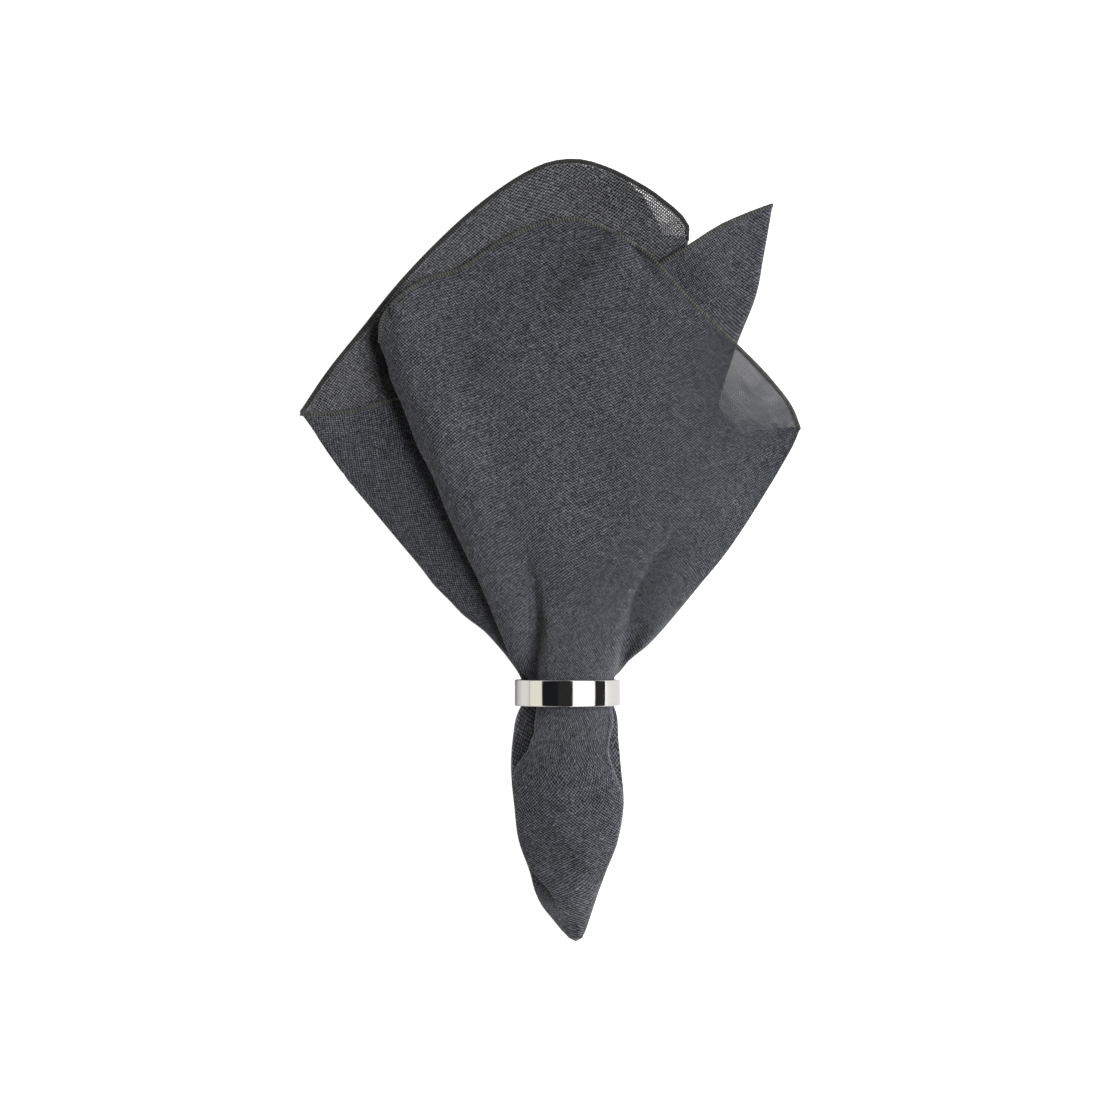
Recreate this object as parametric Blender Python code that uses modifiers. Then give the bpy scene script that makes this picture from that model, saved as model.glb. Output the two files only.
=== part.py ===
"""A linen napkin, picked up at its centre and drawn through a round metal ring, lying on a surface.

The napkin is one square sheet. Its centre is the tip of the tail below the ring, and its hem is the
edge of the fan above the ring. Cut across anywhere, the cloth is one closed loop that runs back and
forth in ten layers, turned at ten folds, and each fold is a line from the tail through the ring to the
hem. The layers are told apart by their level, from 1 on top to 10 below.
"""
import math
from collections import namedtuple

import bpy
import numpy as np

# Driving dimensions, in millimetres. X and Y are measured from the ring's centre, seen from above.
MM = 0.001
SHEET = 1.0  # thickness of the cloth
CLEAR = 0.08  # how far the lowest layer's underside stays above the surface between its resting points
PITCH = 2.0  # from one layer to the next where the fan lies flat
LEVELS = 10
RING_RADIUS = 21.0
RING_WALL = 1.2
RING_WIDTH = 10.4
RING_EDGE = 0.3  # chamfer along the ring's four edges
RING_SEGMENTS = 70  # even but not a multiple of 4, so that the ring rests on a facet
RING_PLACE = (6.7, -56.8)  # from the middle of the whole thing to the ring's centre
MOUTH = 5.6  # Y where the fan starts, just past the ring's rim
FLAT_FROM = 78.0  # Y beyond which the fan lies flat on the surface
DRAPE = 34.0  # how far out a layer's edge lifts the layers above it
LAYERED = 0.5  # share of the pleats' depth from which the tail's layers lie fully one on another
TIP_TURN = 108.0  # angle of the front left fold about the tail's tip, in degrees
FOLD_TURN = 0.022  # share of a layer's width in which it turns into a fold, at each end

# The folds, in the order in which the cloth runs through them. x and y are the fold's end at the hem.
# across is its place in the ring, from -1 at the left to 1 at the right. level is that of the layer
# after the fold, and columns how many columns of points that layer has.
Fold = namedtuple("Fold", "name x y across level columns")
FOLDS = (
    Fold("front left", -75.6, 140.6, -0.86, 1, 17),
    Fold("front right", 93.2, 106.0, 0.94, 4, 8),
    Fold("upper inner left", -57.0, 100.0, -0.74, 5, 10),
    Fold("spike", 82.2, 195.4, 1.0, 6, 8),
    Fold("lower inner left", -44.0, 104.0, -0.76, 7, 8),
    Fold("under right", 80.0, 107.0, 0.9, 10, 18),
    Fold("under left", -99.0, 109.0, -0.82, 9, 12),
    Fold("back right", 48.4, 182.0, 0.66, 8, 16),
    Fold("back left", -107.0, 112.0, -1.0, 3, 12),
    Fold("flap right", 4.0, 118.0, 0.66, 2, 11),
)

# The bends of each fold's line, from the ring up to the hem.
FOLD_BENDS = {
    "front left": (
        (-21.6, 12.8), (-26.2, 23.2), (-30.4, 33.2), (-36.3, 46.8), (-42.0, 58.4), (-49.2, 74.8),
        (-53.6, 86.4), (-58.4, 95.6), (-66.4, 115.6), (-70.4, 124.8), (-72.6, 133.2),
    ),
    "front right": (
        (19.4, 7.2), (24.3, 12.8), (31.6, 18.8), (37.4, 24.8), (42.6, 30.8), (52.6, 42.8), (62.6, 54.8),
        (71.0, 66.8), (78.6, 78.8), (85.8, 90.8), (91.6, 101.6),
    ),
    "upper inner left": ((-35.0, 52.0),),
    "spike": ((47.0, 73.0), (68.4, 140.8), (75.8, 160.0), (78.5, 174.4), (80.4, 185.0)),
    "lower inner left": ((-29.0, 54.0),),
    "under right": ((51.7, 56.3),),
    "under left": ((-18.6, 12.8), (-29.2, 24.8), (-43.0, 36.8), (-53.6, 48.8), (-73.0, 72.8), (-92.4, 97.6)),
    "back right": ((34.0, 94.0),),
    "back left": (
        (-19.0, 7.0), (-22.9, 12.8), (-27.8, 18.8), (-33.5, 24.8), (-41.4, 30.8), (-47.2, 36.8),
        (-53.2, 42.8), (-57.8, 48.8), (-67.8, 60.8), (-77.8, 72.8), (-87.8, 84.8), (-97.0, 97.6),
        (-103.2, 107.0),
    ),
    "flap right": ((7.5, 62.0),),
}

# The bends of the hem between one fold and the next.
HEM_BENDS = {
    "front left": (
        (-74.4, 149.6), (-67.8, 157.8), (-57.4, 165.0), (-43.8, 169.4), (-26.2, 181.0), (-11.0, 187.6),
        (5.4, 189.4), (16.2, 185.4), (30.6, 176.6), (49.0, 157.2), (67.4, 139.6), (82.4, 124.2),
        (90.4, 113.2),
    ),
    "front right": ((20.0, 99.0),),
    "upper inner left": ((38.2, 172.6), (49.0, 179.0), (61.0, 186.8), (72.6, 192.0)),
    "spike": ((36.0, 166.0),),
    "lower inner left": ((10.0, 104.0),),
    "under right": (
        (53.0, 155.5), (40.0, 179.0), (27.0, 199.0), (16.8, 204.4), (3.8, 207.8), (-6.8, 207.0),
        (-22.4, 198.2), (-34.5, 189.0), (-50.0, 174.8), (-63.6, 160.3), (-79.2, 141.2), (-94.2, 122.2),
    ),
    "under left": (
        (-92.8, 121.6), (-78.0, 139.4), (-56.0, 165.6), (-39.0, 181.4), (-24.0, 188.0), (8.0, 184.0),
    ),
    "back right": (
        (48.4, 187.0), (44.2, 192.4), (38.6, 197.0), (33.0, 201.2), (28.6, 203.8), (17.4, 209.6),
        (3.8, 213.4), (-7.2, 212.2), (-17.6, 207.6), (-25.2, 202.8), (-37.6, 193.4), (-53.2, 179.0),
        (-66.8, 164.6), (-82.4, 145.4), (-97.6, 126.2),
    ),
    "back left": ((-97.0, 111.4), (-86.4, 112.8), (-71.6, 116.8)),
    "flap right": ((-36.0, 132.0),),
}

# Places of the front folds across the tail, by y. Lower down the front layer reaches both sides.
TAIL_ACROSS = {
    "front left": (
        (-36.0, -1.0), (-31.0, -0.94), (-27.2, -0.84), (-23.2, -0.7), (-15.6, -0.6), (-6.0, -0.64),
        (0.0, -0.78), (5.6, -0.86),
    ),
    "front right": (
        (-42.0, 1.0), (-36.8, 0.945), (-31.2, 0.87), (-24.3, 0.785), (-18.0, 0.83), (-11.8, 0.92),
        (-5.6, 0.94), (5.6, 0.94),
    ),
}

# The outline of the bundle, cut across at y. mid is the height of its middle level, top and bottom are
# how far it reaches above and below that at its centre, and edge the same at its sides. pleats is how
# much of the inner folds' depth is left, which runs out towards the tail's tip, a plain pouch.
Section = namedtuple("Section", "y left right mid top bottom edge pleats")
SECTIONS = (
    Section(-98.6, 0.8, 5.8, 2.2, 1.6, 1.5, 1.6, 0.0),
    Section(-95.5, -2.2, 7.2, 3.1, 3.0, 2.4, 2.4, 0.0),
    Section(-91.0, -5.8, 8.7, 4.3, 4.8, 3.6, 3.5, 0.0),
    Section(-86.0, -9.8, 10.3, 6.0, 7.9, 5.3, 6.0, 0.0),
    Section(-80.0, -12.7, 12.3, 7.2, 9.7, 6.4, 7.1, 0.25),
    Section(-72.0, -14.9, 15.1, 7.8, 10.2, 7.0, 7.6, 0.85),
    Section(-60.0, -19.1, 19.8, 8.2, 11.4, 7.6, 7.4, 1.0),
    Section(-45.0, -21.1, 22.3, 8.4, 13.0, 7.8, 7.5, 1.0),
    Section(-30.0, -22.4, 21.2, 9.4, 14.8, 8.6, 7.6, 1.0),
    Section(-18.0, -21.6, 20.1, 12.8, 17.0, 11.0, 7.6, 1.0),
    Section(-8.0, -18.9, 18.6, 19.4, 18.0, 16.4, 7.6, 1.0),
    Section(-5.2, -17.0, 17.0, 20.6, 18.0, 17.6, 7.5, 1.0),
    Section(0.0, -17.2, 17.2, 21.0, 18.9, 18.9, 7.6, 1.0),
    Section(5.2, -17.0, 17.0, 20.6, 18.0, 17.6, 7.5, 1.0),
    Section(12.8, -23.2, 24.6, 18.8, 18.2, 15.6, 7.6, 1.0),
    Section(25.0, -34.0, 37.6, 15.6, 16.0, 13.4, 7.8, 1.0),
    Section(45.0, -55.0, 54.8, 12.4, 12.6, 11.0, 8.0, 1.0),
    Section(80.0, -84.0, 80.0, 10.4, 9.6, 9.6, 8.4, 1.0),
    Section(112.0, -107.0, 95.0, 10.4, 9.6, 9.6, 8.4, 1.0),
)

# Soft creases, which let the whole stack down, and lifts, where an edge of the two upper layers stands
# off what is below. Each runs along its bends from its full depth to nothing, and is as wide to the left
# and to the right of that way as said.
Crease = namedtuple("Crease", "depth left right bends")
CREASES = (
    Crease(3.4, 6.5, 3.6, ((-12.2, 4.0), (-11.6, 20.0), (-10.4, 37.0), (-7.6, 52.0), (-4.0, 66.0))),
    Crease(3.8, 3.6, 6.5, (
        (20.4, 5.0), (22.4, 18.6), (24.6, 28.0), (27.5, 37.0), (31.5, 45.5), (37.0, 52.0), (44.0, 62.0),
        (53.0, 73.0),
    )),
    Crease(1.2, 9.0, 9.0, ((-80.0, 112.0), (-50.0, 84.0))),
    Crease(1.8, 6.0, 4.0, ((6.0, -67.0), (-8.0, -51.0))),
)
LIFTS = (
    Crease(4.4, 24.0, 9.0, (
        (-73.0, 146.0), (-68.0, 122.0), (-58.0, 95.0), (-47.0, 70.0), (-36.0, 46.0), (-27.0, 25.0),
    )),
    Crease(2.4, 6.0, 4.0, ((-12.8, -13.0), (-15.0, -21.0), (-19.6, -28.0), (-22.4, -36.0))),
    Crease(3.6, 20.0, 7.0, ((22.2, 184.4), (10.6, 171.6), (-4.2, 153.6), (-20.0, 139.0))),
)

TAIL_ROWS = (-98.6, -95.5, -91.0, -86.0, -81.0, -76.0, -70.0, -60.0, -46.0, -32.0, -18.0, -6.5, 0.0, MOUTH)
FAN_ROWS = (0.07, 0.15, 0.25, 0.36, 0.47, 0.58, 0.69, 0.8, 0.9, 1.0)
TIP = (3.4, -100.0, 2.2)

LINEN = (0.055, 0.064, 0.070)
POLISHED_METAL = (0.80, 0.79, 0.77)


def ease(t):
    """0 before 0, 1 after 1, and a smooth step between."""
    t = np.clip(t, 0.0, 1.0)
    return t * t * (3.0 - 2.0 * t)


def smooth(at, xs, ys):
    """A curve through the points (xs, ys) with no corners, read at the places given."""
    xs = np.asarray(xs, float)
    ys = np.asarray(ys, float)
    slopes = np.gradient(ys, xs)
    at = np.clip(at, xs[0], xs[-1])
    i = np.clip(np.searchsorted(xs, at) - 1, 0, len(xs) - 2)
    step = xs[i + 1] - xs[i]
    t = (at - xs[i]) / step
    rise = ys[i + 1] - ys[i]
    bend = t * (1.0 - t) * step * (slopes[i] * (1.0 - t) - slopes[i + 1] * t)
    return ys[i] + rise * ease(t) + bend


def section(name, y):
    """One column of the table of sections, read at y."""
    return smooth(y, [row.y for row in SECTIONS], [getattr(row, name) for row in SECTIONS])


def spread(columns):
    """How far along its layer each column lies, from 0: one at the fold, then even steps between turns."""
    return np.append(0.0, np.linspace(FOLD_TURN, 1.0 - FOLD_TURN, columns - 1))


def between_folds(values):
    """One value for every column: they run evenly from one fold's value to the next's along each layer."""
    following = values[1:] + values[:1]
    shares = [spread(fold.columns) for fold in FOLDS]
    return np.concatenate([a + (b - a) * share for a, b, share in zip(values, following, shares)])


def first_columns():
    """The number of each fold's own column, and after them the count of all columns."""
    return np.cumsum([0] + [fold.columns for fold in FOLDS])


def tip_turns():
    """Each column's angle about the tail's tip, where the columns stand evenly round the pouch."""
    count = first_columns()[-1]
    return np.radians(TIP_TURN - 360.0 * np.arange(count) / count)


def column_levels():
    """Each column's level: its layer's own, and halfway to the last layer's at the fold between them."""
    levels = np.array([fold.level for fold in FOLDS], float)
    columns = np.repeat(levels, [fold.columns for fold in FOLDS])
    columns[first_columns()[:-1]] = (levels + np.roll(levels, 1)) / 2.0
    return columns


def hem_points():
    """Each column's end on the hem: a smooth curve through each layer's bends, by length along it."""
    points = []
    for fold, following in zip(FOLDS, FOLDS[1:] + FOLDS[:1]):
        bends = np.array([(fold.x, fold.y), *HEM_BENDS[fold.name], (following.x, following.y)])
        length = np.append(0.0, np.cumsum(np.hypot(*np.diff(bends, axis=0).T)))
        at = spread(fold.columns) * length[-1]
        points.append(np.column_stack([smooth(at, length, bends[:, k]) for k in (0, 1)]))
    return np.concatenate(points)


def tail_across(y):
    """Each column's place across the bundle at y, from -1 to 1."""
    values = []
    for fold in FOLDS:
        at, across = zip(*TAIL_ACROSS.get(fold.name, ((0.0, fold.across), (1.0, fold.across))))
        values.append(np.interp(y, at, across))
    return between_folds(values)


def tail_row(y):
    """x, y and level of one row from the tip to the ring's mouth: a pouch at the tip, then the layers."""
    turn = tip_turns()
    pleats = section("pleats", y)
    across = pleats * tail_across(y) + (1.0 - pleats) * np.cos(turn)
    low, high = across.min(), across.max()
    across = (2.0 * across - low - high) / (high - low)
    middle_level = (1 + LEVELS) / 2.0
    pouch_level = middle_level - (LEVELS - middle_level) * np.sin(turn)
    layered = ease(pleats / LAYERED)
    level = layered * column_levels() + (1.0 - layered) * pouch_level
    left, right = section("left", y), section("right", y)
    x = (left + right) / 2.0 + across * (right - left) / 2.0
    return x, np.full_like(x, y), level


def fold_swells(share):
    """How far right of straight each column's line lies at a share of the way from the mouth to the hem."""
    half_mouth = (section("right", MOUTH) - section("left", MOUTH)) / 2.0
    swells = []
    for fold in FOLDS:
        line = np.array([(fold.across * half_mouth, MOUTH), *FOLD_BENDS[fold.name], (fold.x, fold.y)])
        at = (line[:, 1] - MOUTH) / (fold.y - MOUTH)
        off = line[:, 0] - line[0, 0] - (line[-1, 0] - line[0, 0]) * at
        swells.append(smooth(share, at, off))
    return between_folds(swells)


def fan_row(share):
    """x, y and level of one row of the fan, a share of the way from the ring's mouth to the hem."""
    mouth_x, mouth_y, level = tail_row(MOUTH)
    hem = hem_points()
    x = mouth_x + (hem[:, 0] - mouth_x) * share + fold_swells(share)
    y = mouth_y + (hem[:, 1] - mouth_y) * share
    return x, y, level


def layer_outlines():
    """Each level's outline on the surface, seen from above: up one fold, along the hem and back."""
    rows = [fan_row(share) for share in (0.0, *FAN_ROWS)]
    x = np.array([row[0] for row in rows])
    y = np.array([row[1] for row in rows])
    outlines = {}
    starts = first_columns()
    for fold, start, end in zip(FOLDS, starts[:-1], starts[1:]):
        columns = np.arange(start, end + 1) % starts[-1]
        first, last = columns[0], columns[-1]
        outlines[fold.level] = np.concatenate([
            np.column_stack([x[:, first], y[:, first]]),
            np.column_stack([x[-1, columns], y[-1, columns]]),
            np.column_stack([x[::-1, last], y[::-1, last]]),
        ])
    return outlines


def distance_outside(x, y, outline):
    """How far each point lies outside a closed outline, or 0 inside it."""
    point = np.stack([x, y], axis=-1)[..., None, :]
    start = outline
    along = np.roll(outline, -1, axis=0) - start
    length2 = np.maximum((along**2).sum(-1), 1e-9)
    t = np.clip(((point - start) * along).sum(-1) / length2, 0.0, 1.0)
    distance = np.linalg.norm(point - start - t[..., None] * along, axis=-1).min(-1)
    past = (start[:, 1] > point[..., 1]) != (start[:, 1] + along[:, 1] > point[..., 1])
    rise = np.where(np.abs(along[:, 1]) < 1e-9, 1e-9, along[:, 1])
    crossing = start[:, 0] + along[:, 0] * (point[..., 1] - start[:, 1]) / rise
    inside = (past & (point[..., 0] < crossing)).sum(-1) % 2 == 1
    return np.where(inside, 0.0, distance)


def bundle_height(x, y, level):
    """Height in the tail and the ring: the levels share out the space between the bundle's two faces."""
    left, right = section("left", y), section("right", y)
    across2 = np.clip((x - (left + right) / 2.0) / ((right - left) / 2.0), -1.0, 1.0) ** 2
    edge2 = section("edge", y) ** 2 * across2
    top = np.sqrt(section("top", y) ** 2 * (1.0 - across2) + edge2)
    bottom = np.sqrt(section("bottom", y) ** 2 * (1.0 - across2) + edge2)
    up = (LEVELS - level) / (LEVELS - 1.0)
    return section("mid", y) - bottom + (top + bottom) * up


def flat_height(x, y, level, outlines):
    """Height where the fan lies flat: one pitch for each layer that is there below this level."""
    height = np.full_like(x, SHEET / 2.0 + CLEAR)
    for below in range(2, LEVELS + 1):
        there = 1.0 - ease(distance_outside(x, y, outlines[below]) / DRAPE)
        height += PITCH * there * np.clip(below - level, 0.0, 1.0)
    return height


def crease_depth(creases, x, y):
    """The sum of the creases' depths at each point: a bell across each, fading along it."""
    depth = np.zeros_like(x)
    for crease in creases:
        bends = np.array(crease.bends)
        length = np.append(0.0, np.cumsum(np.hypot(*np.diff(bends, axis=0).T)))
        nearest = np.full(x.shape, np.inf)
        bell = np.zeros_like(x)
        for start, end, before, whole in zip(bends[:-1], bends[1:], length[:-1], np.diff(length)):
            way = (end - start) / whole
            t = np.clip((x - start[0]) * way[0] + (y - start[1]) * way[1], 0.0, whole)
            off = np.hypot(x - start[0] - t * way[0], y - start[1] - t * way[1])
            to_left = (y - start[1]) * way[0] - (x - start[0]) * way[1] > 0.0
            across = np.exp(-((off / np.where(to_left, crease.left, crease.right)) ** 2))
            fading = 1.0 - ease((before + t) / length[-1])
            bell = np.where(off < nearest, across * fading, bell)
            nearest = np.minimum(nearest, off)
        depth += crease.depth * bell
    return depth


def cloth_points():
    """The middle of the sheet: a row of points for each row of the tail and the fan, in millimetres.

    At a crease each layer drops in proportion to its height over the lowest, so that no layers meet."""
    rows = [tail_row(y) for y in TAIL_ROWS] + [fan_row(share) for share in FAN_ROWS]
    x, y, level = (np.array([row[k] for row in rows]) for k in range(3))
    flat = ease((y - MOUTH) / (FLAT_FROM - MOUTH))
    outlines = layer_outlines()

    def plain(at):
        return (1.0 - flat) * bundle_height(x, y, at) + flat * flat_height(x, y, at, outlines)

    lowest, highest = plain(np.full_like(x, LEVELS)), plain(np.ones_like(x))
    up = (plain(level) - lowest) / np.maximum(highest - lowest, SHEET)
    height = plain(level) - up * crease_depth(CREASES, x, y)
    height = height + crease_depth(LIFTS, x, y) * np.clip((3.0 - level) / 2.0, 0.0, 1.0)
    return np.stack([x, y, height], axis=-1)


def sheet_faces(rows, columns):
    """Faces of a sheet whose rows are closed loops: triangles at the tip, point 0, then quads."""
    column = np.arange(columns)
    following = (column + 1) % columns
    tip = [(0, 1 + b, 1 + a) for a, b in zip(column, following)]
    quads = [
        (start + a, start + b, start + columns + b, start + columns + a)
        for start in range(1, 1 + (rows - 1) * columns, columns)
        for a, b in zip(column, following)
    ]
    return tip + quads


def material(name, colour, roughness, metallic):
    """A plain surface of one colour."""
    made = bpy.data.materials.new(name)
    made.use_nodes = True
    shader = made.node_tree.nodes["Principled BSDF"]
    shader.inputs["Base Color"].default_value = (*colour, 1.0)
    shader.inputs["Roughness"].default_value = roughness
    shader.inputs["Metallic"].default_value = metallic
    return made


def add_object(name, points, edges, faces, surface, collection):
    """A mesh object at the ring's place on the surface, with its points in millimetres from there."""
    mesh = bpy.data.meshes.new(name)
    mesh.from_pydata((np.asarray(points, float) * MM).tolist(), edges, faces)
    mesh.materials.append(surface)
    made = bpy.data.objects.new(name, mesh)
    made.location = (RING_PLACE[0] * MM, RING_PLACE[1] * MM, 0.0)
    collection.objects.link(made)
    return made


def add_napkin(collection):
    """The whole cloth: its middle surface as a loft of rows, made a sheet by Solidify."""
    points = cloth_points()
    rows, columns = points.shape[:2]
    points = np.concatenate([[TIP], points.reshape(-1, 3)])
    linen = material("linen", LINEN, 0.9, 0.0)
    napkin = add_object("napkin", points, [], sheet_faces(rows, columns), linen, collection)
    napkin.data.shade_smooth()
    sheet = napkin.modifiers.new("sheet", "SOLIDIFY")
    sheet.thickness = SHEET * MM
    sheet.offset = 0.0
    sheet.use_quality_normals = True
    return napkin


def add_ring(collection):
    """The band: its wall's outline, with chamfered edges, turned about the ring's own axis along Y."""
    outer, inner = RING_RADIUS, RING_RADIUS - RING_WALL
    half = RING_WIDTH / 2.0
    wall = (
        (outer, half - RING_EDGE), (outer, RING_EDGE - half), (outer - RING_EDGE, -half),
        (inner + RING_EDGE, -half), (inner, RING_EDGE - half), (inner, half - RING_EDGE),
        (inner + RING_EDGE, half), (outer - RING_EDGE, half),
    )
    points = [(radius, 0.0, along) for radius, along in wall]
    edges = [(i, (i + 1) % len(wall)) for i in range(len(wall))]
    metal = material("polished_metal", POLISHED_METAL, 0.08, 1.0)
    ring = add_object("ring", points, edges, [], metal, collection)
    ring.location.z = RING_RADIUS * math.cos(math.pi / RING_SEGMENTS) * MM
    ring.rotation_euler.x = math.pi / 2.0
    turned = ring.modifiers.new("turned", "SCREW")
    turned.steps = RING_SEGMENTS
    turned.render_steps = RING_SEGMENTS
    turned.use_merge_vertices = True
    turned.merge_threshold = 0.00001
    turned.use_smooth_shade = True
    return ring


def main():
    for old in list(bpy.data.objects):
        bpy.data.objects.remove(old)
    collection = bpy.data.collections.new("napkin in a ring")
    bpy.context.scene.collection.children.link(collection)
    add_napkin(collection)
    add_ring(collection)


main()
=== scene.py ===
"""A dark linen napkin drawn through a polished metal ring, lying on a pale surface, seen from above.

The file follows the making: the cloth, its stitched edge, the ring, and last the surface, the light
and the camera.
"""
from collections import namedtuple

import bpy
import numpy as np
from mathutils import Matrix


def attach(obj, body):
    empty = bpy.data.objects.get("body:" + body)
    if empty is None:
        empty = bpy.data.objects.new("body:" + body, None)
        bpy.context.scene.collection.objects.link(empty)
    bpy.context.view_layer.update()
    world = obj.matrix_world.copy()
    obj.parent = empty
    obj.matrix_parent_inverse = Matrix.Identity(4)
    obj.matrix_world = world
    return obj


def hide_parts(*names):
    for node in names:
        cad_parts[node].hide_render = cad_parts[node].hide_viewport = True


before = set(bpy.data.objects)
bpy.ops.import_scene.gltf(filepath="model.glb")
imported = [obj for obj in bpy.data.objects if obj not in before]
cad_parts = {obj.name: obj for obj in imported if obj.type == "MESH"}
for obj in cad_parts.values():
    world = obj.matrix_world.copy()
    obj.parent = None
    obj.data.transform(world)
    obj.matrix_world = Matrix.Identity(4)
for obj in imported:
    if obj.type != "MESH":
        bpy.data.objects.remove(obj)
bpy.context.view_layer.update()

# The napkin: one 45 cm square of loosely woven linen. It is picked up at its centre, which becomes the
# tip of the tail, and drawn through the ring, so that its four corners fan out above it. Cut across
# anywhere, it is one closed loop of ten layers, turned at ten folds that run from the tail to the hem.
MM = 0.001
CUT = 450.0  # side of the flat square, in millimetres
CLOTH_THICKNESS = 0.5
LAYERS = 10
LAYER_PITCH = 2.0  # from one layer to the next where the fan lies flat
LOWEST_AT = 0.6  # height of the lowest layer's middle there
RING_CENTRE = (6.7, -56.8)  # from the middle of the whole thing; the tables start from here
FAN_START = 5.6  # Y where the fan starts, just past the ring's rim
LIES_FLAT = 78.0  # Y beyond which the fan lies flat on the surface
DRAPE_REACH = 34.0  # how far out a layer's edge lifts the layers above it
GATHERED = 105.0  # length of flat cloth from the tip to the start of the fan
CORNER_ROUNDING = 30.0  # radius of the flat square's corners

# x and y are a fold's end at the hem, from the ring's centre, and across its place in the ring, from -1 to
# 1. layer is the one after the fold, counted from the top, hem_at the fold's place along the hem of the
# flat square from its first corner, and columns how many columns of points the layer has.
Fold = namedtuple("Fold", "x y across layer hem_at columns")
FOLDS = {
    "front left": Fold(-75.6, 140.6, -0.86, 1, 1693.0, 150),
    "front right": Fold(93.2, 106.0, 0.94, 4, 1915.0, 16),
    "upper inner left": Fold(-57.0, 100.0, -0.74, 5, 2065.0, 36),
    "spike": Fold(82.2, 195.6, 1.0, 6, 2250.0, 16),
    "lower inner left": Fold(-44.0, 104.0, -0.76, 7, 2440.0, 14),
    "under right": Fold(71.0, 104.0, 0.9, 10, 2580.0, 34),
    "under left": Fold(-103.0, 110.6, -0.82, 9, 2885.0, 22),
    "back right": Fold(48.4, 182.0, 0.66, 8, 3084.0, 52),
    "back left": Fold(-107.0, 112.0, -1.0, 3, 3280.0, 46),
    "flap right": Fold(4.0, 118.0, 0.66, 2, 3385.0, 22),
}

# The bends of each fold's line, from the ring up to the hem, and of the hem from that fold to the next.
FOLD_BENDS = {
    "front left": (
        (-21.6, 12.8), (-26.2, 23.2), (-30.4, 33.2), (-36.3, 46.8), (-42.0, 58.4), (-49.2, 74.8),
        (-53.6, 86.4), (-58.4, 95.6), (-66.4, 115.6), (-70.4, 124.8), (-72.6, 133.2),
    ),
    "front right": (
        (19.4, 7.2), (24.3, 12.8), (31.6, 18.8), (37.4, 24.8), (42.6, 30.8), (52.6, 42.8), (62.6, 54.8),
        (71.0, 66.8), (78.6, 78.8), (85.8, 90.8), (91.6, 101.6),
    ),
    "upper inner left": ((-35.0, 52.0),),
    "spike": ((47.0, 73.0), (68.4, 140.8), (75.8, 160.0), (78.5, 174.4), (80.4, 185.0)),
    "lower inner left": ((-29.0, 54.0),),
    "under right": ((51.7, 56.3),),
    "under left": (
        (-18.6, 12.8), (-30.2, 24.8), (-44.6, 36.8), (-55.4, 48.8), (-75.2, 72.8), (-94.6, 97.6),
    ),
    "back right": ((34.0, 94.0),),
    "back left": (
        (-19.0, 7.0), (-22.9, 12.8), (-27.8, 18.8), (-33.5, 24.8), (-41.4, 30.8), (-47.2, 36.8),
        (-53.2, 42.8), (-57.8, 48.8), (-67.8, 60.8), (-77.8, 72.8), (-87.8, 84.8), (-97.0, 97.6),
        (-103.2, 107.0),
    ),
    "flap right": ((7.5, 62.0),),
}
HEM_BENDS = {
    "front left": (
        (-74.4, 149.6), (-67.8, 157.8), (-57.4, 165.0), (-43.8, 169.4), (-26.2, 181.0), (-11.0, 187.6),
        (5.4, 189.4), (16.2, 185.4), (30.6, 176.6), (49.0, 157.2), (67.4, 139.6), (82.4, 124.2),
        (90.4, 113.2),
    ),
    "front right": ((20.0, 99.0),),
    "upper inner left": ((38.2, 172.6), (49.0, 179.0), (61.0, 186.8), (72.6, 192.0)),
    "spike": ((36.0, 166.0),),
    "lower inner left": ((10.0, 104.0),),
    "under right": (
        (60.0, 113.0), (55.5, 124.0), (51.0, 154.0), (40.0, 179.0), (29.4, 199.6), (25.8, 204.0),
        (17.0, 207.8), (3.8, 211.4), (-7.2, 210.4), (-17.0, 206.0), (-24.4, 201.3), (-36.6, 192.0),
        (-52.1, 177.8), (-65.7, 163.3), (-81.3, 144.2), (-96.4, 125.1),
    ),
    "under left": (
        (-94.8, 122.6), (-79.0, 141.4), (-57.0, 167.6), (-40.0, 183.4), (-25.0, 190.0), (8.0, 186.0),
    ),
    "back right": (
        (48.4, 187.0), (44.2, 192.4), (38.6, 197.0), (33.0, 201.2), (28.6, 203.8), (17.4, 209.6),
        (3.8, 213.4), (-7.2, 212.2), (-17.6, 207.6), (-25.2, 202.8), (-37.6, 193.4), (-53.2, 179.0),
        (-66.8, 164.6), (-82.4, 145.4), (-97.6, 126.2),
    ),
    "back left": ((-97.0, 111.4), (-86.4, 112.8), (-71.6, 116.8)),
    "flap right": ((-36.0, 132.0),),
}

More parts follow.
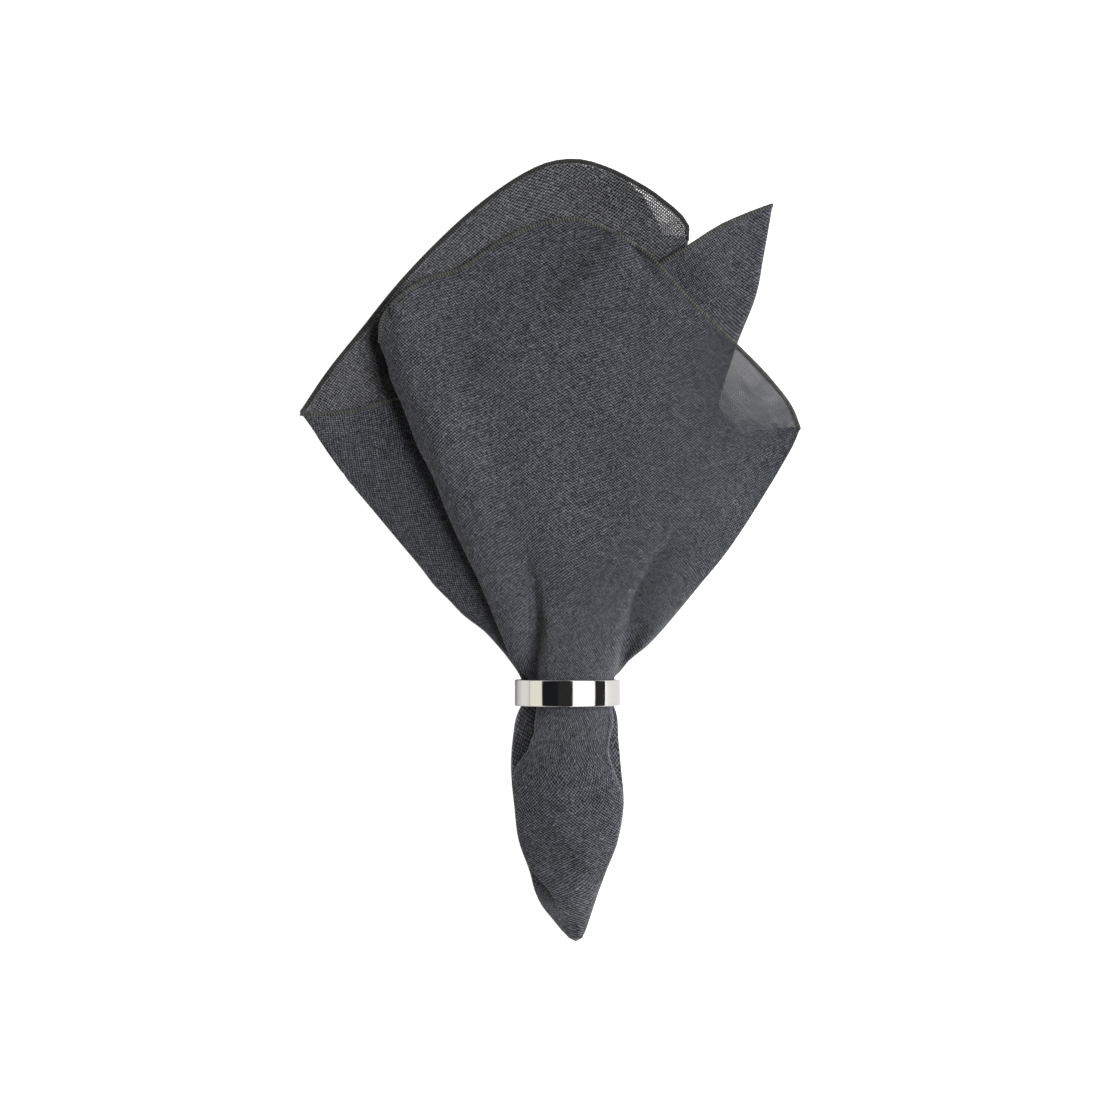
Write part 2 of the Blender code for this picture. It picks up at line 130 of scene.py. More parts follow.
# The bundle, cut across at y: its sides, the height of its middle, how far it reaches above and below
# that at its centre and at its sides, and how much of the inner folds' depth is left there.
Section = namedtuple("Section", "y left right mid top bottom edge pleats")
SECTIONS = (
    Section(-98.6, 0.8, 5.8, 2.2, 1.6, 1.5, 1.6, 0.0),
    Section(-95.5, -2.2, 7.2, 3.1, 3.0, 2.4, 2.4, 0.0),
    Section(-91.0, -5.8, 8.7, 4.3, 4.8, 3.6, 3.5, 0.0),
    Section(-86.0, -9.8, 10.3, 6.0, 7.9, 5.3, 6.0, 0.0),
    Section(-80.0, -12.7, 12.3, 7.2, 9.7, 6.4, 7.1, 0.25),
    Section(-72.0, -14.9, 15.1, 7.8, 10.2, 7.0, 7.6, 0.85),
    Section(-60.0, -19.1, 19.8, 8.2, 11.4, 7.6, 7.4, 1.0),
    Section(-45.0, -21.1, 22.3, 8.4, 13.0, 7.8, 7.5, 1.0),
    Section(-30.0, -22.4, 21.2, 9.4, 14.8, 8.6, 7.6, 1.0),
    Section(-18.0, -21.6, 20.1, 12.8, 17.0, 11.0, 7.6, 1.0),
    Section(-8.0, -19.6, 19.2, 19.4, 18.0, 16.4, 7.6, 1.0),
    Section(-5.2, -18.2, 18.2, 20.6, 18.0, 17.6, 7.5, 1.0),
    Section(0.0, -18.2, 18.2, 21.0, 18.9, 18.9, 7.6, 1.0),
    Section(5.2, -18.2, 18.2, 20.6, 18.0, 17.6, 7.5, 1.0),
    Section(12.8, -23.2, 24.6, 18.8, 18.2, 15.6, 7.6, 1.0),
    Section(25.0, -34.0, 37.6, 15.6, 16.0, 13.4, 7.8, 1.0),
    Section(45.0, -55.0, 54.8, 12.4, 12.6, 11.0, 8.0, 1.0),
    Section(80.0, -84.0, 80.0, 10.4, 9.6, 9.6, 8.4, 1.0),
    Section(112.0, -107.0, 95.0, 10.4, 9.6, 9.6, 8.4, 1.0),
)
TIP = (3.4, -100.0, 2.2)
TIP_ANGLE = 108.0  # angle of the front left fold about the tip, in degrees
TURN_SHARE = 0.022  # share of a layer's width in which it turns into a fold, at each end
TURN_STEPS = 4
PLEATS_FORMED = 0.95  # share of the pleats' depth from which the layers lie fully one on another

# Places of the front folds across the tail, by y. Lower down the front layer reaches both sides.
TAIL_ACROSS = {
    "front left": (
        (-36.0, -1.0), (-31.0, -0.94), (-27.2, -0.84), (-23.2, -0.7), (-15.6, -0.6), (-6.0, -0.64),
        (0.0, -0.78), (5.6, -0.86),
    ),
    "front right": (
        (-42.0, 1.0), (-36.8, 0.945), (-31.2, 0.87), (-24.3, 0.785), (-18.0, 0.83), (-11.8, 0.92),
        (-5.6, 0.94), (5.6, 0.94),
    ),
}

# Creases let the whole stack down, tucks only what lies under the two upper layers, and lifts raise those
# two off what is below. Each runs along its bends from its full depth to nothing. left and right are how
# wide it is on each side of that way, and power is 2 for a soft bell across it and 1 for a crisp line. A
# ridge has a depth under 0.
Crease = namedtuple("Crease", "depth left right power bends")
CREASES = (
    Crease(6.0, 7.0, 2.8, 2.4, (
        (-12.6, 4.0), (-12.4, 12.0), (-12.2, 22.0), (-12.8, 33.0), (-14.4, 43.0), (-17.0, 54.0),
        (-20.0, 66.0),
    )),
    Crease(1.8, 4.0, 14.0, 2.0, ((-12.6, 4.0), (-12.2, 22.0), (-11.0, 38.0), (-8.0, 60.0))),
    Crease(-2.0, 1.0, 6.0, 1.0, ((-9.8, 4.0), (-9.6, 13.6), (-9.0, 20.0), (-8.0, 27.0), (-6.2, 35.0))),
    Crease(-3.6, 4.5, 4.0, 1.8, (
        (22.8, 9.0), (27.0, 14.8), (31.5, 20.6), (36.0, 27.0), (41.0, 35.0), (50.0, 48.0),
    )),
    Crease(-3.2, 8.0, 17.0, 2.0, ((-98.0, 108.0), (-84.0, 88.0), (-70.0, 69.0), (-58.0, 52.0))),
    Crease(5.6, 1.7, 6.5, 1.5, (
        (19.6, 5.0), (21.0, 13.6), (22.6, 21.3), (24.0, 28.6), (25.2, 34.4), (26.6, 38.8), (28.5, 43.0),
        (31.2, 47.4), (34.4, 53.2), (39.0, 58.6), (44.0, 65.0), (49.2, 71.0), (60.0, 82.0),
    )),
    Crease(3.2, 3.0, 3.0, 1.6, ((20.4, 8.0), (24.0, 16.5), (28.6, 24.0), (33.7, 29.4), (43.0, 38.0))),
    Crease(2.8, 2.0, 3.2, 1.6, ((26.6, 178.6), (36.4, 163.6), (48.0, 150.5))),
    Crease(1.2, 9.0, 9.0, 2.0, ((-80.0, 112.0), (-50.0, 84.0))),
    Crease(3.2, 0.8, 5.0, 1.4, ((9.6, -44.8), (2.6, -43.6), (-5.0, -41.4))),
    Crease(-3.6, 6.5, 6.0, 1.1, ((7.6, -65.6), (1.0, -61.6), (-6.0, -51.0), (-10.0, -43.0))),
    Crease(-0.8, 1.0, 1.0, 2.0, ((4.2, -96.0), (8.0, -88.6), (11.2, -82.6))),
    Crease(-1.0, 0.9, 0.9, 2.0, ((17.4, -8.0), (15.8, -24.8), (19.6, -42.0))),
)
TUCKS = (
    Crease(7.0, 6.0, 8.0, 1.6, (
        (-75.0, 142.0), (-69.4, 124.8), (-57.4, 95.6), (-48.2, 74.8), (-41.0, 58.4), (-29.4, 33.2),
        (-22.0, 14.0),
    )),
    Crease(4.0, 8.0, 8.0, 2.0, ((-79.0, 126.0), (-80.0, 134.0), (-78.0, 146.0))),
    Crease(3.4, 9.0, 8.0, 1.6, ((42.0, 165.0), (30.6, 175.6), (16.2, 184.0), (-4.0, 188.0))),
    Crease(3.4, 8.0, 9.0, 1.6, ((44.0, 163.0), (50.0, 156.5), (60.0, 147.0), (66.0, 141.0))),
)
LIFTS = (
    Crease(3.6, 15.0, 5.4, 2.0, (
        (-68.0, 144.0), (-63.4, 124.8), (-51.8, 95.6), (-43.0, 74.8), (-36.4, 58.4), (-25.6, 33.2),
        (-18.5, 14.0),
    )),
    Crease(2.0, 12.0, 5.4, 2.0, (
        (-51.8, 95.6), (-43.0, 74.8), (-36.4, 58.4), (-25.6, 33.2), (-18.5, 14.0),
    )),
    Crease(2.4, 6.0, 3.0, 2.0, ((-12.8, -13.0), (-15.0, -21.0), (-19.6, -28.0), (-22.4, -36.0))),
    Crease(5.2, 20.0, 2.8, 1.4, (
        (22.2, 184.6), (17.8, 178.8), (10.6, 171.6), (-4.2, 153.6), (-24.0, 135.0),
    )),
)


def ease(t):
    """0 before 0, 1 after 1, and 3t squared less 2t cubed between."""
    t = np.clip(t, 0.0, 1.0)
    return t * t * (3.0 - 2.0 * t)


def smooth_curve(at, xs, ys):
    """A cubic through (xs, ys), read at the places given; its slopes are the mean of those beside."""
    xs = np.asarray(xs, float)
    ys = np.asarray(ys, float)
    slopes = np.gradient(ys, xs)
    at = np.clip(at, xs[0], xs[-1])
    i = np.clip(np.searchsorted(xs, at) - 1, 0, len(xs) - 2)
    step = xs[i + 1] - xs[i]
    t = (at - xs[i]) / step
    bend = t * (1.0 - t) * step * (slopes[i] * (1.0 - t) - slopes[i + 1] * t)
    return ys[i] + (ys[i + 1] - ys[i]) * ease(t) + bend


def bundle(name, y):
    """One column of the table of sections, read at y."""
    return smooth_curve(y, [row.y for row in SECTIONS], [getattr(row, name) for row in SECTIONS])


def layer_shares(columns):
    """How far along its layer each column lies: quarter circles at both folds, even steps between."""
    turn = np.radians(np.linspace(0.0, 90.0, TURN_STEPS + 1))
    start = TURN_SHARE * (1.0 - np.cos(turn))
    middle = np.linspace(TURN_SHARE, 1.0 - TURN_SHARE, columns - 2 * TURN_STEPS)[1:-1]
    return np.concatenate([start, middle, 1.0 - start[:0:-1]])


def cloth_columns():
    """For each column: its share of its layer, its level, and x, y and hem_at by name.

    The level runs from one layer's number to the next round half a circle at the fold between them."""
    folds = list(FOLDS.values())
    found = {name: [] for name in ("share", "level", "x", "y", "hem_at")}
    for (name, fold), after, before in zip(FOLDS.items(), folds[1:] + folds[:1], folds[-1:] + folds[:-1]):
        share = layer_shares(fold.columns)
        near_start = np.sqrt(1.0 - np.clip(1.0 - share / TURN_SHARE, 0.0, 1.0) ** 2)
        near_end = np.sqrt(1.0 - np.clip(1.0 - (1.0 - share) / TURN_SHARE, 0.0, 1.0) ** 2)
        level = fold.layer + (before.layer - fold.layer) / 2.0 * (1.0 - near_start)
        level = level + (after.layer - fold.layer) / 2.0 * (1.0 - near_end)
        bends = np.array([(fold.x, fold.y), *HEM_BENDS[name], (after.x, after.y)])
        length = np.append(0.0, np.cumsum(np.hypot(*np.diff(bends, axis=0).T)))
        hem_end = after.hem_at + (4.0 * CUT if after.hem_at < fold.hem_at else 0.0)
        found["share"].append(share)
        found["level"].append(level)
        found["x"].append(smooth_curve(share * length[-1], length, bends[:, 0]))
        found["y"].append(smooth_curve(share * length[-1], length, bends[:, 1]))
        found["hem_at"].append(fold.hem_at + (hem_end - fold.hem_at) * share)
    return {name: np.concatenate(parts) for name, parts in found.items()}


def between_folds(values):
    """A row of values for each fold, made one for each column: evenly from fold to fold across a layer."""
    between = []
    for fold, value, after in zip(FOLDS.values(), values, values[1:] + values[:1]):
        share = layer_shares(fold.columns)
        between.append(value[:, None] * (1.0 - share) + after[:, None] * share)
    return np.concatenate(between, axis=1)


def tail_across(y):
    """Each column's place across the bundle in the rows at y, from -1 to 1."""
    values = []
    for name, fold in FOLDS.items():
        at, across = zip(*TAIL_ACROSS.get(name, ((0.0, fold.across), (1.0, fold.across))))
        values.append(np.interp(y, at, across))
    return between_folds(values)


def fold_swells(fan_share, half_mouth):
    """How far right of straight each column's line lies: along a fold, what its bends say."""
    swells = []
    for name, fold in FOLDS.items():
        line = np.array([(fold.across * half_mouth, FAN_START), *FOLD_BENDS[name], (fold.x, fold.y)])
        at = (line[:, 1] - FAN_START) / (fold.y - FAN_START)
        off = line[:, 0] - line[0, 0] - (line[-1, 0] - line[0, 0]) * at
        swells.append(smooth_curve(fan_share, at, off))
    return between_folds(swells)


def cloth_plan(columns, tail_y, fan_share):
    """x, y and level of every point: rows straight across the tail, then lines from the ring to the hem."""
    turn = np.radians(TIP_ANGLE) - 2.0 * np.pi * np.arange(len(columns["x"])) / len(columns["x"])
    y = np.append(tail_y, FAN_START)[:, None] + 0.0 * turn
    pleats = bundle("pleats", y)
    across = pleats * tail_across(y[:, 0]) + (1.0 - pleats) * np.cos(turn)
    low, high = across.min(1)[:, None], across.max(1)[:, None]
    across = (2.0 * across - low - high) / (high - low)
    layered = ease(pleats / PLEATS_FORMED)
    middle = (1.0 + LAYERS) / 2.0
    level = layered * columns["level"] + (1.0 - layered) * (middle - (LAYERS - middle) * np.sin(turn))
    left, right = bundle("left", y), bundle("right", y)
    x = (left + right) / 2.0 + across * (right - left) / 2.0
    share = fan_share[:, None]
    fan_x = x[-1] + (columns["x"] - x[-1]) * share + fold_swells(fan_share, (right - left)[-1, 0] / 2.0)
    fan_y = y[-1] + (columns["y"] - y[-1]) * share
    fan_level = columns["level"] + 0.0 * share
    return tuple(np.concatenate(pair) for pair in ((x, fan_x), (y, fan_y), (level, fan_level)))


def layer_outlines(x, y, first_row):
    """Each layer's outline from above, by its number: up one fold, along the hem and down the next.

    Every eighth point of a fold and every fourth of the hem is enough."""
    starts = np.cumsum([0] + [fold.columns for fold in FOLDS.values()])
    outlines = {}
    for fold, first, last in zip(FOLDS.values(), starts[:-1], starts[1:]):
        hem = np.arange(first, last + 1, 4) % x.shape[1]
        last = last % x.shape[1]
        outlines[fold.layer] = np.concatenate([
            np.column_stack([x[first_row::8, first], y[first_row::8, first]]),
            np.column_stack([x[-1, hem], y[-1, hem]]),
            np.column_stack([x[:first_row:-8, last], y[:first_row:-8, last]]),
        ])
    return outlines


def distance_outside(x, y, outline):
    """How far each point lies outside a closed outline, or 0 inside it."""
    nearest = np.full(x.shape, np.inf)
    inside = np.zeros(x.shape, bool)
    for (x1, y1), (x2, y2) in zip(outline, np.roll(outline, -1, axis=0)):
        length2 = max((x2 - x1) ** 2 + (y2 - y1) ** 2, 1e-9)
        t = np.clip(((x - x1) * (x2 - x1) + (y - y1) * (y2 - y1)) / length2, 0.0, 1.0)
        nearest = np.minimum(nearest, np.hypot(x - x1 - t * (x2 - x1), y - y1 - t * (y2 - y1)))
        if y1 != y2:
            past = (y1 > y) != (y2 > y)
            inside ^= past & (x < x1 + (x2 - x1) * (y - y1) / (y2 - y1))
    return np.where(inside, 0.0, nearest)


def bundle_height(x, y, level):
    """Height in the tail and the ring: the levels share out the space between the bundle's two faces."""
    left, right = bundle("left", y), bundle("right", y)
    across2 = np.clip((x - (left + right) / 2.0) / ((right - left) / 2.0), -1.0, 1.0) ** 2
    edge2 = bundle("edge", y) ** 2 * across2
    top = np.sqrt(bundle("top", y) ** 2 * (1.0 - across2) + edge2)
    bottom = np.sqrt(bundle("bottom", y) ** 2 * (1.0 - across2) + edge2)
    return bundle("mid", y) - bottom + (top + bottom) * (LAYERS - level) / (LAYERS - 1.0)


def flat_height(x, y, level, outlines):
    """Height where the fan lies flat: one pitch for each layer that is there below this level."""
    height = np.full_like(x, LOWEST_AT)
    for below in range(2, LAYERS + 1):
        there = 1.0 - ease(distance_outside(x, y, outlines[below]) / DRAPE_REACH)
        height += LAYER_PITCH * there * np.clip(below - level, 0.0, 1.0)
    return height


def crease_depth(creases, x, y):
    """The sum of the creases' depths: e to the minus power of the distance, fading along each."""
    depth = np.zeros_like(x)
    for crease in creases:
        bends = np.array(crease.bends)
        length = np.append(0.0, np.cumsum(np.hypot(*np.diff(bends, axis=0).T)))
        nearest = np.full(x.shape, np.inf)
        bell = np.zeros_like(x)
        for start, end, before, whole in zip(bends[:-1], bends[1:], length[:-1], np.diff(length)):
            way = (end - start) / whole
            t = np.clip((x - start[0]) * way[0] + (y - start[1]) * way[1], 0.0, whole)
            off = np.hypot(x - start[0] - t * way[0], y - start[1] - t * way[1])
            to_left = (y - start[1]) * way[0] - (x - start[0]) * way[1] > 0.0
            across = np.exp(-((off / np.where(to_left, crease.left, crease.right)) ** crease.power))
            fading = 1.0 - ease((before + t) / length[-1])
            bell = np.where(off < nearest, across * fading, bell)
            nearest = np.minimum(nearest, off)
        depth += crease.depth * bell
    return depth


def cloth_height(x, y, level, outlines):
    """Height of the bundle near the ring, turning into that of the flat fan, let down by the creases.

    Each layer drops in proportion to its height over the lowest, so that no layers meet."""
    flat_part = ease((y - FAN_START) / (LIES_FLAT - FAN_START))

    def plain(at):
        return (1.0 - flat_part) * bundle_height(x, y, at) + flat_part * flat_height(x, y, at, outlines)

    lowest, highest = plain(np.full_like(x, LAYERS)), plain(np.ones_like(x))
    up = (plain(level) - lowest) / np.maximum(highest - lowest, 1.0)
    under = np.clip(level - 2.0, 0.0, 1.0)
    height = plain(level) - up * (crease_depth(CREASES, x, y) + under * crease_depth(TUCKS, x, y))
    return height + crease_depth(LIFTS, x, y) * np.clip((3.0 - level) / 2.0, 0.0, 1.0)


def flat_place(hem_at, length):
    """The point of the flat square that lies a length from its centre towards a place on its hem.

    The hem is as far as the straight side, or nearer where the corner is rounded by a quarter circle."""
    side, along = np.divmod(hem_at % (4.0 * CUT), CUT)
    a = along - CUT / 2.0
    h = CUT / 2.0
    quarter = np.stack([a, np.full_like(a, -h)], axis=-1)
    turn = side * np.pi / 2.0
    px = quarter[..., 0] * np.cos(turn) - quarter[..., 1] * np.sin(turn)
    py = quarter[..., 0] * np.sin(turn) + quarter[..., 1] * np.cos(turn)
    straight = np.hypot(px, py)
    centre = h - CORNER_ROUNDING
    toward = centre * (np.abs(a) + h) / straight
    rounded = toward + np.sqrt(np.maximum(toward**2 - 2.0 * centre**2 + CORNER_ROUNDING**2, 0.0))
    reach = np.where(np.abs(a) > centre, rounded, straight)
    return px / straight * length, py / straight * length, reach


def loop_faces(rows, columns):
    """Faces of a sheet whose rows are closed loops: triangles at point 0, then four-sided ones."""
    column = np.arange(columns)
    after = (column + 1) % columns
    tip = np.column_stack([np.zeros_like(column), 1 + after, 1 + column])
    row = np.arange(rows - 1)[:, None] * columns + 1
    quads = np.stack([row + column, row + after, row + columns + after, row + columns + column], axis=-1)
    return tip.tolist() + quads.reshape(-1, 4).tolist()


def add_mesh(name, points, faces, uv, *surfaces):
    """A smooth mesh object at the origin, its points in millimetres from the ring's centre.

    uv holds one pair for each point."""
    mesh = bpy.data.meshes.new(name)
    placed = (np.asarray(points, float) + (*RING_CENTRE, 0.0)) * MM
    mesh.from_pydata(placed.tolist(), [], faces)
    mesh.shade_smooth()
    corner = np.empty(len(mesh.loops), np.int32)
    mesh.loops.foreach_get("vertex_index", corner)
    layer = mesh.uv_layers.new(name="flat")
    layer.uv.foreach_set("vector", np.asarray(uv, np.float32)[corner].ravel())
    for surface in surfaces:
        mesh.materials.append(surface)
    made = bpy.data.objects.new(name, mesh)
    bpy.context.scene.collection.objects.link(made)
    return made


class Nodes:
    """Short calls for the nodes of one material or world. A value is a number or a node's output."""

    def __init__(self, owner):
        owner.use_nodes = True
        self.owner = owner
        self.tree = owner.node_tree
        self.shader = self.tree.nodes.get("Principled BSDF")

    def new(self, kind):
        """A node of the kind named."""
        return self.tree.nodes.new(kind)

    def put(self, socket, value):
        """A socket takes a plain value, or a link from an output."""
        if isinstance(value, bpy.types.NodeSocket):
            self.tree.links.new(value, socket)
        else:
            socket.default_value = value

    def math(self, operation, *values, clamp=False):
        """One Math node."""
        node = self.new("ShaderNodeMath")
        node.operation = operation
        node.use_clamp = clamp
        for socket, value in zip(node.inputs, values):
            self.put(socket, value)
        return node.outputs[0]

    def add(self, first, second, clamp=False):
        """The first value plus the second."""
        return self.math("ADD", first, second, clamp=clamp)

    def less(self, first, second):
        """The first value less the second."""
        return self.math("SUBTRACT", first, second)

    def times(self, first, second):
        """The first value times the second."""
        return self.math("MULTIPLY", first, second)

    def remap(self, value, from_low, from_high, to_low, to_high, how="LINEAR"):
        """One Map Range node, held inside its ends."""
        node = self.new("ShaderNodeMapRange")
        node.interpolation_type = how
        for socket, given in zip(node.inputs[:5], (value, from_low, from_high, to_low, to_high)):
            self.put(socket, given)
        return node.outputs[0]

    def join(self, x, y, z=0.0):
        """A vector from three values."""
        node = self.new("ShaderNodeCombineXYZ")
        for socket, value in zip(node.inputs, (x, y, z)):
            self.put(socket, value)
        return node.outputs[0]

    def split(self, vector):
        """The three values of a vector."""
        node = self.new("ShaderNodeSeparateXYZ")
        self.put(node.inputs[0], vector)
        return list(node.outputs)

    def flat_place(self):
        """The two values of the map that add_mesh makes."""
        node = self.new("ShaderNodeUVMap")
        node.uv_map = "flat"
        return self.split(node.outputs[0])[:2]

    def noise(self, vector, scale, detail=2.0, roughness=0.5):
        """A Noise texture's value, from about 0.2 to 0.8."""
        node = self.new("ShaderNodeTexNoise")
        self.put(node.inputs["Vector"], vector)
        node.inputs["Scale"].default_value = scale
        node.inputs["Detail"].default_value = detail
        node.inputs["Roughness"].default_value = roughness
        return node.outputs[0]

    def chance(self, vector):
        """A White Noise texture's value, from 0 to 1, a new one for each whole place."""
        node = self.new("ShaderNodeTexWhiteNoise")
        node.noise_dimensions = "2D"
        self.put(node.inputs["Vector"], vector)
        return node.outputs["Value"]

    def blend(self, share, low, high):
        """A colour between two, by share."""
        node = self.new("ShaderNodeMix")
        node.data_type = "RGBA"
        self.put(node.inputs["Factor"], share)
        self.put(node.inputs["A"], low)
        self.put(node.inputs["B"], high)
        return node.outputs["Result"]

    def bump(self, height, distance):
        """A Bump node into the shader's normal."""
        node = self.new("ShaderNodeBump")
        node.inputs["Distance"].default_value = distance
        self.put(node.inputs["Height"], height)
        self.put(self.shader.inputs["Normal"], node.outputs[0])


# The weave, measured in millimetres on the flat cloth. Round the middle, where the tail's gathers spread
# the front layer wide, the threads lie closer, and at the sheer places they are thinner.
THREAD_PITCH = 0.9
HALF_THIN, HALF_FULL = 0.38, 0.47  # half a thread's width, as a share of the pitch
CLOSER = 1.3  # how many times closer the threads lie round the middle
CLOSER_UP_TO, NO_CLOSER_FROM = 0.08, 0.225  # distances from the middle, as shares of the square's side
SheerPlace = namedtuple("SheerPlace", "u v reach_u reach_v thinner")
SHEER_PLACES = (
    SheerPlace(90.0, 0.0, 46.0, 32.0, 0.15),
    SheerPlace(40.0, 450.0, 32.0, 26.0, 0.13),
    SheerPlace(4.0, 440.0, 40.0, 40.0, 0.04),
)

# What makes the threads uneven. along and across say how fast a noise changes, the last three from thread
# to thread, and shift parts it from the others.
Noise = namedtuple("Noise", "along across shift detail roughness")
DRIFT = Noise(0.03, 0.05, 0.0, 2.0, 0.5)
WOBBLE = Noise(0.3, 0.6, 5.0, 2.0, 0.5)
SWELLING = Noise(0.12, 7.31, 0.0, 1.0, 0.5)
DASHES = Noise(0.6, 7.31, 9.0, 2.0, 0.7)
SLUBS = Noise(0.035, 7.31, 19.0, 0.0, 0.5)
DRIFT_MOST, WOBBLE_MOST = 2.0, 0.7
WEFT_SHIFT = 40.0  # parts the weft's noises from the warp's
CLOUDS = 0.02  # soft clouds in each millimetre

# A thread's height where threads cross, and how far over and under the other it goes.
CROSSING_HEIGHT, CROSSING_SWING = 0.62, 0.3
# Above this height the threads are painted lighter and below it darker: painted highlight and shade.
MEAN_HEIGHT = 0.57  # adds nothing to the shade
WEAVE_RELIEF = 0.2  # millimetres of bump

# How much each cause counts in the cloth's shade, and each face's colours at shade 0 and 1.
TONE_PART = 0.34
GRAIN_PART = 0.18
FIBRE_PART = 0.42
# The height's part is painted shade on the threads' sides and dips, and painted highlight on their crowns.
PAINTED_RELIEF_SHADE_PART = 1.2
CLOUD_PART = 0.14
SHADE_POWER = 1.6
OUTER_FACE = ((0.0148, 0.0155, 0.0180, 1.0), (0.254, 0.265, 0.309, 1.0))
# The inner face is the same linen, its colours painted about a third lighter: painted light on the layers
# that show it.
INNER_FACE_PAINTED_LIGHTER = ((0.0280, 0.0285, 0.0300, 1.0), (0.340, 0.345, 0.367, 1.0))

Threads = namedtuple("Threads", "place number tone off half height")


def weave_place(n):
    """The place on the weave: the way from the square's middle, times how close the threads lie there."""
    middle_off = [n.less(value, 0.5) for value in n.flat_place()]
    from_middle = n.math("SQRT", n.add(*[n.times(off, off) for off in middle_off]))
    closer = n.remap(from_middle, CLOSER_UP_TO, NO_CLOSER_FROM, CUT * CLOSER, CUT, "SMOOTHSTEP")
    return [n.math("MULTIPLY_ADD", off, closer, CUT / 2.0) for off in middle_off]


def sheerness(n, u, v):
    """How much thinner the threads are: most within 0.3 of a sheer place's reach, nothing outside it."""
    sheer = 0.0
    for place in SHEER_PLACES:
        off_u = n.math("DIVIDE", n.less(u, place.u), place.reach_u)
        off_v = n.math("DIVIDE", n.less(v, place.v), place.reach_v)
        off = n.math("SQRT", n.add(n.times(off_u, off_u), n.times(off_v, off_v)))
        sheer = n.add(sheer, n.remap(off, 0.3, 1.0, place.thinner, 0.0))
    return sheer


def threads_one_way(n, across, along, shift, sheer):
    """The threads that run one way. off is the way from a thread's middle, in pitches.

    The height is the square root of 1 less off over half. The tone is that of short dashes, rare slubs and
    the thread's own."""
    def uneven(kind, by):
        place = n.join(n.times(along, kind.along), n.times(by, kind.across), shift + kind.shift)
        return n.noise(place, 1.0, kind.detail, kind.roughness)

    wander = n.add(n.times(uneven(DRIFT, across), DRIFT_MOST), n.times(uneven(WOBBLE, across), WOBBLE_MOST))
    place = n.math("DIVIDE", n.add(across, wander), THREAD_PITCH)
    number = n.math("FLOOR", place)
    off = n.math("ABSOLUTE", n.less(n.math("FRACT", place), 0.5))
    swelling = uneven(SWELLING, number)
    tone = n.remap(uneven(DASHES, number), 0.32, 0.68, 0.0, 0.6)
    tone = n.add(tone, n.remap(uneven(SLUBS, number), 0.66, 0.80, 0.0, 0.2))
    tone = n.add(tone, n.times(n.chance(n.join(number, shift)), 0.1))
    slack = n.times(sheer, n.remap(swelling, 0.3, 0.72, 1.3, 0.7))
    half = n.less(n.remap(swelling, 0.3, 0.72, HALF_THIN, HALF_FULL), slack)
    height = n.math("SQRT", n.remap(n.math("DIVIDE", off, half), 0.0, 1.0, 1.0, 0.0))
    return Threads(place, number, tone, off, half, height)


def linen_surface(name, dark, light):
    """Plain weave: on each thread a rounded height, raised where it runs over and dropped where under.

    A sine of one thread's place plus the other's number says which. The shade adds up the threads' tone,
    a grain for each crossing, four fibres in it, the height as painted shade and highlight on the threads,
    and soft clouds. Square holes stay open."""
    n = Nodes(bpy.data.materials.new(name))
    u, v = weave_place(n)
    sheer = sheerness(n, u, v)
    warp = threads_one_way(n, u, v, 0.0, sheer)
    weft = threads_one_way(n, v, u, WEFT_SHIFT, sheer)
    over = n.math("SINE", n.times(n.add(weft.place, warp.number), np.pi))
    under = n.math("SINE", n.times(n.add(warp.place, weft.number), np.pi))
    warp_height = n.times(warp.height, n.add(CROSSING_HEIGHT, n.times(over, CROSSING_SWING)))
    weft_height = n.times(weft.height, n.less(CROSSING_HEIGHT, n.times(under, CROSSING_SWING)))
    height = n.math("MAXIMUM", warp_height, weft_height)
    warp_on_top = n.math("GREATER_THAN", warp_height, weft_height)
    tone = n.add(n.times(warp_on_top, warp.tone), n.times(n.less(1.0, warp_on_top), weft.tone))
    grain = n.chance(n.join(warp.number, weft.number))
    fibres = n.chance(n.join(*[n.math("FLOOR", n.times(way.place, 2.0)) for way in (warp, weft)]))
    clouds = n.noise(n.join(u, v), CLOUDS, 3.0)
    shade = n.add(n.times(tone, TONE_PART), n.times(grain, GRAIN_PART))
    shade = n.add(shade, n.times(fibres, FIBRE_PART))
    # Painted shade on the threads' low sides and where they dip under, painted highlight on their crowns.
    shade = n.add(shade, n.times(n.less(height, MEAN_HEIGHT), PAINTED_RELIEF_SHADE_PART))
    shade = n.add(shade, n.times(n.less(clouds, 0.5), CLOUD_PART), clamp=True)
    shade = n.math("POWER", shade, SHADE_POWER)
    n.put(n.shader.inputs["Base Color"], n.blend(shade, dark, light))
    gaps = [n.remap(n.less(way.off, way.half), -0.02, 0.03, 0.0, 1.0) for way in (warp, weft)]
    n.put(n.shader.inputs["Alpha"], n.less(1.0, n.times(*gaps)))
    n.put(n.shader.inputs["Roughness"], n.remap(height, 0.0, 1.0, 0.95, 0.72))
    n.shader.inputs["Specular IOR Level"].default_value = 0.25
    n.shader.inputs["Sheen Weight"].default_value = 0.14
    n.shader.inputs["Sheen Roughness"].default_value = 0.45
    n.bump(height, WEAVE_RELIEF * MM)
    return n.owner


# The cloth's rows of points, those across the tail closer together towards its tip.
TAIL_ROWS = 44
TAIL_ROWS_POWER = 1.15
FAN_ROWS = 72
columns = cloth_columns()
tail_share = np.linspace(0.0, 1.0, TAIL_ROWS + 2)[1:-1] ** TAIL_ROWS_POWER
tail_y = TIP[1] + (FAN_START - TIP[1]) * tail_share
fan_share = np.linspace(0.0, 1.0, FAN_ROWS + 1)[1:]
cloth_x, cloth_y, cloth_level = cloth_plan(columns, tail_y, fan_share)
outlines = layer_outlines(cloth_x, cloth_y, TAIL_ROWS)
cloth_z = cloth_height(cloth_x, cloth_y, cloth_level, outlines)
cloth = np.stack([cloth_x, cloth_y, cloth_z], axis=-1)

